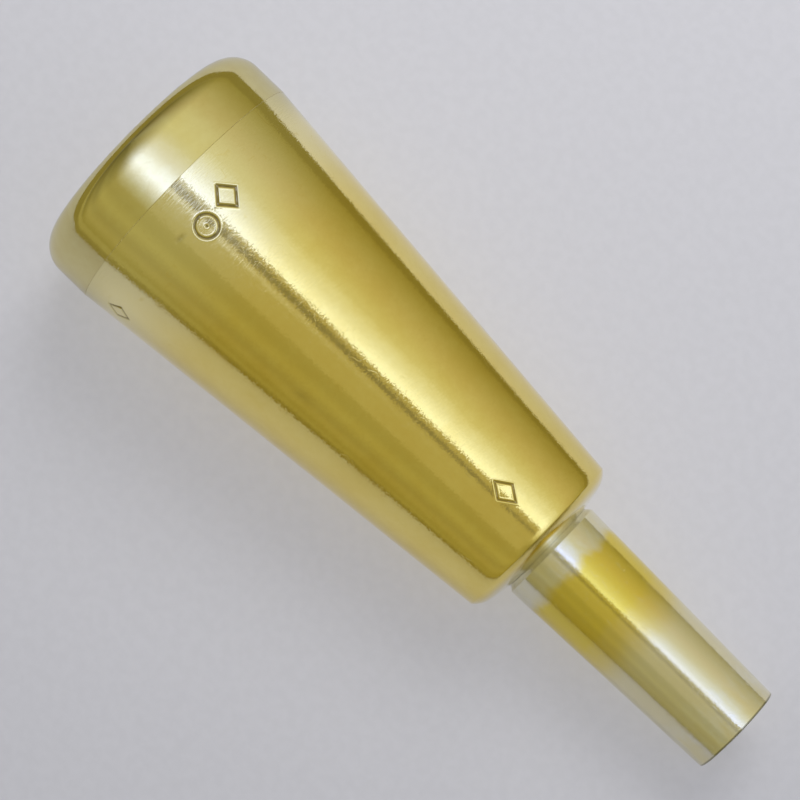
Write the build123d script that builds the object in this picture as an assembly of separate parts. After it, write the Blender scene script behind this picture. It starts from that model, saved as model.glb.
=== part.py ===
from build123d import *
import math
import os

# A trumpet mouthpiece that comes apart into a screw rim, a cup body, a backbore and a shank sleeve.
# Every piece is turned about the bore axis, +X, which runs from the rim to the shank's open end.
# Stations are lengths along the bore from the crest of the rim. The origin is on the axis at the
# shank's open end. All sizes are in millimetres.

# Rim
RIM_DIAMETER = 27.4  # outside of the polished ring
RIM_HEIGHT = 6.6  # crest to the seam with the cup body
CUP_DIAMETER = 16.8  # inner edge of the rim, where the lips meet the cup
INNER_EDGE_RADIUS = 1.5  # round between the land and the cup wall
LAND_WIDTH = 0.8  # flat ring along the crest, on which the rim stands
TENON_WALL = 1.9  # cup wall to the crest of the rim's thread
TENON_LENGTH = 4.0
RIM_THREAD_PITCH = 0.635  # 40 threads to the inch

# Cup body
BODY_LENGTH = 48.9
BODY_REAR_DIAMETER = 18.16  # at the crisp edge where the cone ends
RIM_STEP = 0.02  # how far the cone starts below the ring
SHOULDER_RADIUS = 2.9  # round from the cone's rear edge to the rear face
SHOULDER_BREAK = 38.0  # degrees that the round is turned at the edge, from the bore's direction
REAR_FACE_TURN = 80.0  # degrees that the rear face is turned, so it rises a little to the shank
SEAM_CHAMFER = 0.04
CUP_WALL_SLOPE = 0.11  # narrowing of the cup's radius for each millimetre of depth
BOWL_START = 1.9  # tenon's end to the corner between the cup wall and its floor
BOWL_DEPTH = 5.4  # tenon's end to the throat
BOWL_RADIUS = 3.0
THROAT_ENTRY_ROUND = 2.0

# Throat and backbore
THROAT_DIAMETER = 3.66  # a number 27 drill
THROAT_IN_BODY = 8.0
THROAT_IN_BACKBORE = 5.0
SPIGOT_WALL = 0.45  # backbore's wall at its open end
STOP_STEP = 0.3  # rise from the spigot to the thread's crest, against which the sleeve stops
STEM_THREAD_LENGTH = 10.0
STEM_THREAD_SETBACK = 1.5  # plain collar between the thread and the shoulder
STEM_THREAD_PITCH = 0.79375  # 32 threads to the inch
PILOT_STEP = 0.1  # how far the pilot lies below the root of the thread
NOSE_CHAMFER = 0.4

# Shank sleeve
SHANK_LENGTH = 25.2
SHANK_END_DIAMETER = 9.75  # 0.384 inch, the size of a standard trumpet shank
SHANK_TAPER = 1 / 19  # change of diameter for each millimetre of length, one in nineteen
SLEEVE_TIP_WALL = 0.4
SLEEVE_TOP_CHAMFER = 0.45
SLEEVE_TIP_CHAMFER = 0.08

# Threads and fits
THREAD_HALF_ANGLE = 30.0  # degrees, of a V thread
THREAD_FLAT = 1 / 8  # flat at each crest and each root, for each millimetre of pitch
THREAD_RUNOUT = 1.5  # plain neck between a shoulder and the first ridge, in pitches
THREAD_CREST_GAP = 0.04  # radial, crest to crest, so that a thread also draws straight out
RUNNING_GAP = 0.03  # radial, a plain shaft in its hole
SEAT_GAP = 0.03  # along the axis, between faces that screw up against each other

# Stations and radii that follow from the sizes above
RIM_RADIUS = RIM_DIAMETER / 2
CUP_RADIUS = CUP_DIAMETER / 2
LAND_INNER_RADIUS = CUP_RADIUS + INNER_EDGE_RADIUS
LAND_OUTER_RADIUS = LAND_INNER_RADIUS + LAND_WIDTH
OUTER_EDGE_RADIUS = RIM_RADIUS - LAND_OUTER_RADIUS
TENON_RADIUS = CUP_RADIUS + TENON_WALL
TENON_END = RIM_HEIGHT + TENON_LENGTH
CONE_START_RADIUS = RIM_RADIUS - RIM_STEP
BODY_REAR_RADIUS = BODY_REAR_DIAMETER / 2
SHOULDER = RIM_HEIGHT + BODY_LENGTH
THROAT_START = TENON_END + BOWL_DEPTH
THROAT_RADIUS = THROAT_DIAMETER / 2
NOSE = THROAT_START + THROAT_IN_BODY
OVERALL_LENGTH = SHOULDER + SHANK_LENGTH
SHANK_END_RADIUS = SHANK_END_DIAMETER / 2
SPIGOT_RADIUS = SHANK_END_RADIUS - SLEEVE_TIP_WALL - RUNNING_GAP
EXIT_RADIUS = SPIGOT_RADIUS - SPIGOT_WALL
STEM_THREAD_RADIUS = SPIGOT_RADIUS + STOP_STEP
STEM_THREAD_END = SHOULDER - STEM_THREAD_SETBACK
STEM_THREAD_START = STEM_THREAD_END - STEM_THREAD_LENGTH


def cosine(angle):
    """Cosine of an angle in degrees."""
    return math.cos(math.radians(angle))


def flank_length(pitch):
    """Length along the axis of one flank of a thread's ridge."""
    return pitch / 2 - pitch * THREAD_FLAT


def thread_depth(pitch):
    """Height of a thread's ridge."""
    return flank_length(pitch) / math.tan(math.radians(THREAD_HALF_ANGLE))


PILOT_RADIUS = STEM_THREAD_RADIUS - thread_depth(STEM_THREAD_PITCH) - PILOT_STEP


def cup_wall(station):
    """Radius of the cup's straight wall at a station."""
    return CUP_RADIUS - CUP_WALL_SLOPE * (station - INNER_EDGE_RADIUS)


def turned(outline):
    """Solid turned about the bore axis from a closed outline, moved so that the shank ends at the origin."""
    return Pos(-OVERALL_LENGTH, 0, 0) * revolve(make_face(outline), Axis.X)


def thread(start, end, crest_radius, pitch, depth):
    """Outline points of a thread's grooves from start to end. A negative depth cuts outwards, as in a nut."""
    turns = int((end - start) / pitch)
    first = start + (end - start - turns * pitch) / 2
    flat = pitch * THREAD_FLAT
    flank = flank_length(pitch)
    points = []
    for turn in range(turns):
        groove = first + turn * pitch
        points.append((groove, crest_radius))
        points.append((groove + flank, crest_radius - depth))
        points.append((groove + flank + flat, crest_radius - depth))
        points.append((groove + flank + flat + flank, crest_radius))
    return points


def rim():
    """Polished ring with a rounded outer edge, a narrow land and a threaded tenon."""
    root = TENON_RADIUS - thread_depth(RIM_THREAD_PITCH)
    neck = RIM_HEIGHT + RIM_THREAD_PITCH
    first_ridge = RIM_HEIGHT + RIM_THREAD_PITCH * THREAD_RUNOUT
    outer_edge = CenterArc((OUTER_EDGE_RADIUS, LAND_OUTER_RADIUS), OUTER_EDGE_RADIUS, 90, 90)
    inner_edge = CenterArc((INNER_EDGE_RADIUS, LAND_INNER_RADIUS), INNER_EDGE_RADIUS, 180, 90)
    back = Polyline(
        (OUTER_EDGE_RADIUS, RIM_RADIUS),
        (RIM_HEIGHT - SEAM_CHAMFER, RIM_RADIUS),
        (RIM_HEIGHT, RIM_RADIUS - SEAM_CHAMFER),
        (RIM_HEIGHT, root),
        (neck, root),
        *thread(first_ridge, TENON_END, TENON_RADIUS, RIM_THREAD_PITCH, TENON_RADIUS - root),
        (TENON_END, root),
        (TENON_END, cup_wall(TENON_END)),
        (INNER_EDGE_RADIUS, CUP_RADIUS),
    )
    land = Line((0, LAND_INNER_RADIUS), (0, LAND_OUTER_RADIUS))
    return turned(outer_edge + back + inner_edge + land)


def cup_body():
    """Cone with the bowl and the throat, open at the front for the rim and at the back for the backbore."""
    rim_depth = thread_depth(RIM_THREAD_PITCH)
    stem_depth = thread_depth(STEM_THREAD_PITCH)
    socket = TENON_RADIUS + THREAD_CREST_GAP
    pocket = STEM_THREAD_RADIUS + THREAD_CREST_GAP
    pilot_hole = PILOT_RADIUS + RUNNING_GAP
    front = RIM_HEIGHT + SEAT_GAP
    floor = TENON_END + SEAT_GAP
    corner = TENON_END + BOWL_START
    socket_neck = floor - RIM_THREAD_PITCH
    pocket_neck = STEM_THREAD_START - STEM_THREAD_PITCH
    bowl = FilletPolyline(
        (floor, cup_wall(floor)),
        (corner, cup_wall(corner)),
        (THROAT_START, THROAT_RADIUS),
        (NOSE, THROAT_RADIUS),
        radius=[BOWL_RADIUS, THROAT_ENTRY_ROUND],
    )
    rear = Polyline(
        (NOSE, THROAT_RADIUS),
        (NOSE, pilot_hole),
        (pocket_neck, pilot_hole),
        (pocket_neck, pocket + stem_depth),
        (STEM_THREAD_START, pocket + stem_depth),
        *thread(STEM_THREAD_START, STEM_THREAD_END, pocket, STEM_THREAD_PITCH, -stem_depth),
        (STEM_THREAD_END, pocket),
        (SHOULDER, pocket),
    )
    face_top = BODY_REAR_RADIUS - SHOULDER_RADIUS * (cosine(SHOULDER_BREAK) - cosine(REAR_FACE_TURN))
    face_start = SHOULDER - (face_top - pocket) / math.tan(math.radians(REAR_FACE_TURN))
    centre = (face_start - SHOULDER_RADIUS * cosine(90 - REAR_FACE_TURN),
              face_top - SHOULDER_RADIUS * cosine(REAR_FACE_TURN))
    rear_face = Line((SHOULDER, pocket), (face_start, face_top))
    shoulder = CenterArc(centre, SHOULDER_RADIUS, 90 - REAR_FACE_TURN, REAR_FACE_TURN - SHOULDER_BREAK)
    front_end = Polyline(
        shoulder @ 1,
        (front + SEAM_CHAMFER, CONE_START_RADIUS),
        (front, CONE_START_RADIUS - SEAM_CHAMFER),
        (front, socket),
        *thread(front, socket_neck, socket, RIM_THREAD_PITCH, -rim_depth),
        (socket_neck, socket + rim_depth),
        (floor, socket + rim_depth),
        (floor, cup_wall(floor)),
    )
    return turned(bowl + rear + rear_face + shoulder + front_end)


def backbore():
    """Stem with a pilot and a thread inside the cup body, and a plain spigot under the sleeve."""
    depth = thread_depth(STEM_THREAD_PITCH)
    root = STEM_THREAD_RADIUS - depth
    nose = NOSE + SEAT_GAP
    spigot_start = SHOULDER + SEAT_GAP
    outline = Polyline(
        (nose, THROAT_RADIUS),
        (nose, PILOT_RADIUS - NOSE_CHAMFER),
        (nose + NOSE_CHAMFER, PILOT_RADIUS),
        (STEM_THREAD_START - STEM_THREAD_PITCH, PILOT_RADIUS),
        (STEM_THREAD_START, root),
        *thread(STEM_THREAD_START, STEM_THREAD_END, STEM_THREAD_RADIUS, STEM_THREAD_PITCH, depth),
        (STEM_THREAD_END, STEM_THREAD_RADIUS),
        (spigot_start, STEM_THREAD_RADIUS),
        (spigot_start, SPIGOT_RADIUS),
        (OVERALL_LENGTH, SPIGOT_RADIUS),
        (OVERALL_LENGTH, EXIT_RADIUS),
        (nose + THROAT_IN_BACKBORE, THROAT_RADIUS),
        close=True,
    )
    return turned(outline)


def shank_sleeve():
    """Thin tapered sleeve that fits an instrument's receiver, seated against the step of the backbore."""
    top = SHOULDER + SEAT_GAP + SEAT_GAP
    top_radius = SHANK_END_RADIUS + (OVERALL_LENGTH - top) * SHANK_TAPER / 2
    hole = SPIGOT_RADIUS + RUNNING_GAP
    outline = Polyline(
        (top, hole),
        (top, top_radius - SLEEVE_TOP_CHAMFER),
        (top + SLEEVE_TOP_CHAMFER, top_radius - SLEEVE_TOP_CHAMFER * SHANK_TAPER / 2),
        (OVERALL_LENGTH - SLEEVE_TIP_CHAMFER, SHANK_END_RADIUS),
        (OVERALL_LENGTH, SHANK_END_RADIUS - SLEEVE_TIP_CHAMFER),
        (OVERALL_LENGTH, hole),
        close=True,
    )
    return turned(outline)


os.makedirs("parts", exist_ok=True)
for piece in (rim, cup_body, backbore, shank_sleeve):
    export_step(piece(), f"parts/{piece.__name__}.step")
print(f"overall length {OVERALL_LENGTH:.2f} mm")
print(f"backbore opens to {2 * EXIT_RADIUS:.2f} mm, rim edge radius {OUTER_EDGE_RADIUS:.2f} mm")
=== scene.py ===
"""Looks for a trumpet-sized brass mouthpiece: screw rim, cup body, backbore and shank sleeve."""

import logging
import math
from dataclasses import dataclass, field
from enum import Enum
from typing import Any, Callable

import bpy
import numpy as np
from mathutils import Matrix, Vector


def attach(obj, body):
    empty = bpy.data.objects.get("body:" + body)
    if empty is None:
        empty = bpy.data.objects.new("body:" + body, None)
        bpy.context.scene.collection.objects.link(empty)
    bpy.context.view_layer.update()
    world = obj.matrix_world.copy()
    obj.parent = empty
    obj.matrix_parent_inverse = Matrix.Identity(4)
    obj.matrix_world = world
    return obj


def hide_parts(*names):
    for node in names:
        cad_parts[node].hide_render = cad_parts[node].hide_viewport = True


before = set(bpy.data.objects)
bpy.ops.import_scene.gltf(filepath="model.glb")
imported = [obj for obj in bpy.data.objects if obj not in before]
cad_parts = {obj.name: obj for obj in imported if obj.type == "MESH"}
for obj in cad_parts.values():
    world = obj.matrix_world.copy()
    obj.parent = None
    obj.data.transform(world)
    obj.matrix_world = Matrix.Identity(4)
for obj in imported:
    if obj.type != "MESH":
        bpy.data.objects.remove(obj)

log = logging.getLogger("mouthpiece")

MM = 0.001
AXIS_STATION = 80.7  # station of the frame's origin, at the shank's open end
LEAN = 12.0  # degrees that the camera leans from the floor's upright towards -Y
HOLLOW = "hollow"  # mesh attribute: how deep a point lies in a mark, a nick or a thread

Outline = list[tuple[float, float]]
Colour = tuple[float, float, float]
Relief = Callable[[np.ndarray, np.ndarray, np.ndarray], np.ndarray]
Socket = bpy.types.NodeSocket


def spread(start: float, end: float, spacing: float) -> list[float]:
    """Evenly spaced values from start to end, both included."""
    return list(np.linspace(start, end, max(2, round(abs(end - start) / spacing) + 1)))


def add_object(name: str, data: bpy.types.ID) -> bpy.types.Object:
    """Makes an object and links it to the scene.

    Args:
        name: The object's name.
        data: Its mesh, lamp or camera.

    Returns:
        The new object.
    """
    made = bpy.data.objects.new(name, data)
    bpy.context.scene.collection.objects.link(made)
    return made


def arc(centre: tuple[float, float], radius: float, start: float, end: float, steps: int) -> Outline:
    """Points of a circular arc in an outline.

    Args:
        centre: Station and radius of the arc's centre.
        radius: The arc's own radius.
        start: First angle in degrees, where 0 points along the bore and 90 away from it.
        end: Last angle in degrees.
        steps: Number of straight steps.

    Returns:
        The points, both ends included.
    """
    turns = np.radians(np.linspace(start, end, steps + 1))
    return [(centre[0] + radius * math.cos(t), centre[1] + radius * math.sin(t)) for t in turns]


def rounded(before: tuple[float, float], corner: tuple[float, float], after: tuple[float, float],
            radius: float, steps: int) -> Outline:
    """Points of the round that replaces a corner between two straight lines.

    Args:
        before: A point on the line into the corner.
        corner: The sharp corner.
        after: A point on the line out of the corner.
        radius: Radius of the round.
        steps: Number of straight steps.

    Returns:
        The points of the round, both tangent points included.
    """
    c = Vector(corner)
    a, b = (Vector(before) - c).normalized(), (Vector(after) - c).normalized()
    half = a.angle(b) / 2
    centre = c + (a + b).normalized() * (radius / math.sin(half))
    first, last = c + a * (radius / math.tan(half)), c + b * (radius / math.tan(half))
    u, v = (first - centre).normalized(), (last - centre).normalized()
    sweep = u.angle(v)
    points = []
    for step in range(steps + 1):
        t = step / steps
        d = (u * math.sin((1 - t) * sweep) + v * math.sin(t * sweep)) / math.sin(sweep)
        points.append(tuple(centre + d * radius))
    return points


@dataclass(frozen=True)
class ScrewThread:
    """A V thread about the bore axis."""

    start: float
    end: float
    crest: float
    pitch: float
    start_at_root: bool = True
    end_at_root: bool = True
    flat: float = 1 / 8
    half_angle: float = 30.0

    @property
    def flank(self) -> float:
        """Length along the bore of one flank."""
        return self.pitch * (0.5 - self.flat)

    @property
    def depth(self) -> float:
        """Height of the ridge."""
        return self.flank / math.tan(math.radians(self.half_angle))

    def grooves(self) -> Outline:
        """Outline of a nut's grooves, cut outwards, from start to end.

        Returns:
            The grooves' corners, as stations and radii.
        """
        turns = int((self.end - self.start) / self.pitch)
        first = self.start + (self.end - self.start - turns * self.pitch) / 2
        points: Outline = []
        for turn in range(turns):
            x = first + turn * self.pitch
            for step, rise in ((0, 0), (self.flank, 1), (self.flank + self.flat * self.pitch, 1),
                               (2 * self.flank + self.flat * self.pitch, 0)):
                points.append((x + step, self.crest + rise * self.depth))
        return points

    def rows(self, per_pitch: int = 12) -> Outline:
        """Close rows at the crest, from which cut() takes the helix."""
        return [(x, self.crest) for x in spread(self.start, self.end, self.pitch / per_pitch)]

    def cut(self, stations: np.ndarray, turns: np.ndarray, radii: np.ndarray) -> np.ndarray:
        """Helical groove of a screw, as a change of radius.

        Args:
            stations: Station of each point.
            turns: Angle of each point about the bore, in radians.
            radii: Radius of each point before the cut.

        Returns:
            The change of radius at each point, zero or negative, in millimetres.
        """
        phase = ((stations - self.start) / self.pitch - turns / math.tau) % 1.0
        flank, root = self.flank / self.pitch, self.flank / self.pitch + self.flat
        groove = np.clip(np.minimum(phase / flank, (root + flank - phase) / flank), 0, 1)
        near_start = np.clip(1 - (stations - self.start) / self.pitch, 0, 1)
        near_end = np.clip(1 - (self.end - stations) / self.pitch, 0, 1)
        for near, at_root in ((near_start, self.start_at_root), (near_end, self.end_at_root)):
            groove = np.maximum(groove, near) if at_root else groove * (1 - near)
        on_thread = (np.abs(radii - self.crest) < 1e-6) & (stations >= self.start - 1e-6)
        on_thread &= stations <= self.end + 1e-6
        return np.where(on_thread, -self.depth * groove, 0.0)


class MarkShape(Enum):
    """Plain punch marks that stand for nothing in particular."""

    RING_AND_DOT = "ring_and_dot"
    DIAMOND = "diamond"


@dataclass(frozen=True)
class PunchMark:
    """A small mark struck into the cone, with the metal pushed up along its edges."""

    shape: MarkShape
    station: float
    turn: float  # degrees about the bore, from +Z towards +Y
    length: float  # along the bore
    width: float  # around the bore
    stroke: float = 0.13
    depth: float = 0.13
    lip: float = 0.018
    margin: float = 0.6

    def distance(self, u: np.ndarray, v: np.ndarray) -> np.ndarray:
        """Distance of each point from the mark's nearest stroke line.

        Args:
            u: How far each point is from the mark's middle along the bore, in millimetres.
            v: How far it is around the bore.

        Returns:
            The distances in millimetres.
        """
        a, b = self.length / 2, self.width / 2
        if self.shape is MarkShape.RING_AND_DOT:
            ring = np.abs(np.hypot(u / a, v / b) - 1) * min(a, b)
            return np.minimum(ring, np.hypot(u, v))
        return np.abs(np.abs(u) / a + np.abs(v) / b - 1) * a * b / math.hypot(a, b)

    def cut(self, stations: np.ndarray, turns: np.ndarray, radii: np.ndarray) -> np.ndarray:
        """Cuts the mark with the lip that the punch raises around it.

        Args:
            stations: Station of each point.
            turns: Angle of each point about the bore, in radians.
            radii: Radius of each point before the cut.

        Returns:
            The change of radius at each point, in millimetres.
        """
        away = (turns - math.radians(self.turn) + math.pi) % math.tau - math.pi
        d = self.distance(stations - self.station, away * radii) / self.stroke
        return self.lip * np.exp(-(((d - 1.7) / 0.5) ** 2)) - self.depth * np.exp(-(d**2) * 1.2)

    def reach(self) -> tuple[float, float]:
        """Half the length and half the width of the patch that the mark needs."""
        return self.length / 2 + self.margin, self.width / 2 + self.margin


@dataclass(frozen=True)
class Nick:
    """A shallow dent from handling."""

    station: float
    turn: float
    length: float
    width: float
    depth: float

    def cut(self, stations: np.ndarray, turns: np.ndarray, radii: np.ndarray) -> np.ndarray:
        """Cuts the dent.

        Args:
            stations: Station of each point.
            turns: Angle of each point about the bore, in radians.
            radii: Radius of each point before the cut.

        Returns:
            The change of radius at each point, in millimetres.
        """
        away = (turns - math.radians(self.turn) + math.pi) % math.tau - math.pi
        reach = ((stations - self.station) / self.length) ** 2 + (away * radii / self.width) ** 2
        return -self.depth * np.exp(-reach * 2)


@dataclass(frozen=True)
class Lathe:
    """Turns closed outlines about the bore axis, which is +X, into smooth meshes."""

    segments: int = 240
    sharp: float = 34.0  # degrees between faces beyond which an edge stays crisp
    full_tone_depth: float = 0.11  # millimetres below the turned surface where a hollow is darkest

    def turns(self, fine: tuple[tuple[float, float, float], ...] = ()) -> np.ndarray:
        """Angles of the lathe's segments, closer together where fine work needs them.

        Args:
            fine: Start, end and step in degrees of each closer stretch, in rising order.

        Returns:
            The angles in radians, from +Z towards +Y.
        """
        step = 360 / self.segments
        angles: list[float] = []
        at = -180.0
        for start, end, close in (*fine, (180.0, 180.0, step)):
            angles += spread(at, start, step)[:-1]
            if end > start:
                angles += spread(start, end, close)[:-1]
            at = end
        return np.radians(np.array(angles))

    def turn(self, name: str, outline: Outline, reliefs: tuple[Relief, ...] = (),
             fine: tuple[tuple[float, float, float], ...] = ()) -> bpy.types.Object:
        """Makes the turned piece.

        Args:
            name: The piece's name.
            outline: Closed outline of station and radius, going along +X on the outside.
            reliefs: Cuts that change the radius after turning.
            fine: Closer stretches of segments, as in turns().

        Returns:
            The new object, in the row frame and in metres.
        """
        around = self.turns(fine)
        rows, columns = len(outline), len(around)
        stations = np.repeat([p[0] for p in outline], columns)
        radii = np.repeat([p[1] for p in outline], columns)
        angles = np.tile(around, rows)
        relief = sum((cut(stations, angles, radii) for cut in reliefs), np.zeros_like(radii))
        radii = radii + relief
        points = np.stack([stations - AXIS_STATION, radii * np.sin(angles), radii * np.cos(angles)], 1)
        i, j = np.meshgrid(np.arange(rows), np.arange(columns), indexing="ij")
        below, beside = (i + 1) % rows, (j + 1) % columns
        faces = np.stack([i * columns + j, below * columns + j, below * columns + beside,
                          i * columns + beside], -1).reshape(-1, 4)
        mesh = bpy.data.meshes.new(name)
        mesh.from_pydata((points * MM).tolist(), [], faces.tolist())
        hollow = mesh.attributes.new(HOLLOW, "FLOAT", "POINT")
        hollow.data.foreach_set("value", np.clip(-relief / self.full_tone_depth, 0, 1))
        mesh.shade_smooth()
        mesh.set_sharp_from_angle(angle=math.radians(self.sharp))
        return add_object(name, mesh)


class Graph:
    """A node tree while it is wired."""

    def __init__(self, tree: bpy.types.NodeTree) -> None:
        """Starts from an existing tree."""
        self.tree = tree

    def add(self, kind: str, inputs: dict[str | int, Any] | None = None, **settings: Any) -> bpy.types.Node:
        """Adds a node.

        Args:
            kind: The node's type name.
            inputs: Values or sockets for its inputs, by name or number.
            settings: Properties to set on the node before its inputs.

        Returns:
            The new node.
        """
        node = self.tree.nodes.new(kind)
        for key, value in settings.items():
            setattr(node, key, value)
        for key, value in (inputs or {}).items():
            self.feed(value, node.inputs[key])
        return node

    def feed(self, value: Any, socket: Socket) -> None:
        """Gives a socket its value.

        Args:
            value: A plain value, or a socket to wire from.
            socket: The socket that takes it.
        """
        if isinstance(value, bpy.types.NodeSocket):
            self.link(value, socket)
        else:
            socket.default_value = value

    def math(self, operation: str, *values: float | Socket) -> Socket:
        """Adds a Math node and returns its output."""
        return self.add("ShaderNodeMath", dict(enumerate(values)), operation=operation).outputs[0]

    def plus(self, a: float | Socket, b: float | Socket) -> Socket:
        """Adds two values."""
        return self.math("ADD", a, b)

    def minus(self, a: float | Socket, b: float | Socket) -> Socket:
        """Takes the second value from the first."""
        return self.math("SUBTRACT", a, b)

    def times(self, a: float | Socket, b: float | Socket) -> Socket:
        """Multiplies two values."""
        return self.math("MULTIPLY", a, b)

    def vector(self, operation: str, *values: Any) -> Socket:
        """Adds a Vector Math node and returns its vector."""
        return self.add("ShaderNodeVectorMath", dict(enumerate(values)), operation=operation).outputs[0]

    def link(self, start: Socket, end: Socket) -> None:
        """Wires one socket to another."""
        self.tree.links.new(start, end)

    def coordinates(self, kind: str = "Object") -> Any:
        """The three texture coordinates of one kind, apart."""
        return self.add("ShaderNodeSeparateXYZ", {0: self.add("ShaderNodeTexCoord").outputs[kind]}).outputs

    def remap(self, value: float | Socket, low: float | Socket, high: float | Socket, to_low: float = 0.0,
              to_high: float = 1.0, smooth: bool = True) -> Socket:
        """Maps a value from one range to another, held at the ends.

        Args:
            value: The value.
            low: Where the first range starts.
            high: Where it ends.
            to_low: Result at its start.
            to_high: Result at its end.
            smooth: Whether the ends are eased.

        Returns:
            The result.
        """
        kind = "SMOOTHSTEP" if smooth else "LINEAR"
        names = {"Value": value, "From Min": low, "From Max": high, "To Min": to_low, "To Max": to_high}
        return self.add("ShaderNodeMapRange", names, interpolation_type=kind).outputs["Result"]

    def mix(self, share: float | Socket, a: Colour | Socket, b: Colour | Socket,
            blend: str = "MIX") -> Socket:
        """Mixes two colours.

        Args:
            share: How much of the second colour shows.
            a: The first colour.
            b: The second colour.
            blend: How they are mixed.

        Returns:
            The result.
        """
        def four(c: Colour | Socket) -> Any:
            """A colour with its alpha, or the socket as it is."""
            return c if isinstance(c, bpy.types.NodeSocket) else (*c, 1.0)

        node = self.add("ShaderNodeMix", data_type="RGBA", blend_type=blend)
        for key, value in ((0, share), (6, four(a)), (7, four(b))):
            self.feed(value, node.inputs[key])
        return node.outputs[2]

    def noise(self, vector: Socket, detail: float = 2.0, roughness: float = 0.5) -> Socket:
        """Adds noise read at a vector that is already scaled, and returns its value."""
        names = {"Vector": vector, "Scale": 1.0, "Detail": detail, "Roughness": roughness}
        return self.add("ShaderNodeTexNoise", names).outputs[0]


@dataclass(frozen=True)
class Slope:
    """A value that runs from one level to another between two places and is level beyond them."""

    start: float
    end: float
    first: float
    last: float

    def at(self, g: Graph, place: Socket) -> Socket:
        """The value at a place."""
        return g.remap(place, self.start, self.end, self.first, self.last, smooth=False)


def empty_material(name: str) -> tuple[bpy.types.Material, Graph]:
    """Makes a material without nodes.

    Args:
        name: The material's name.

    Returns:
        The material and its graph.
    """
    made = bpy.data.materials.new(name)
    made.use_nodes = True
    made.node_tree.nodes.clear()
    return made, Graph(made.node_tree)


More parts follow.
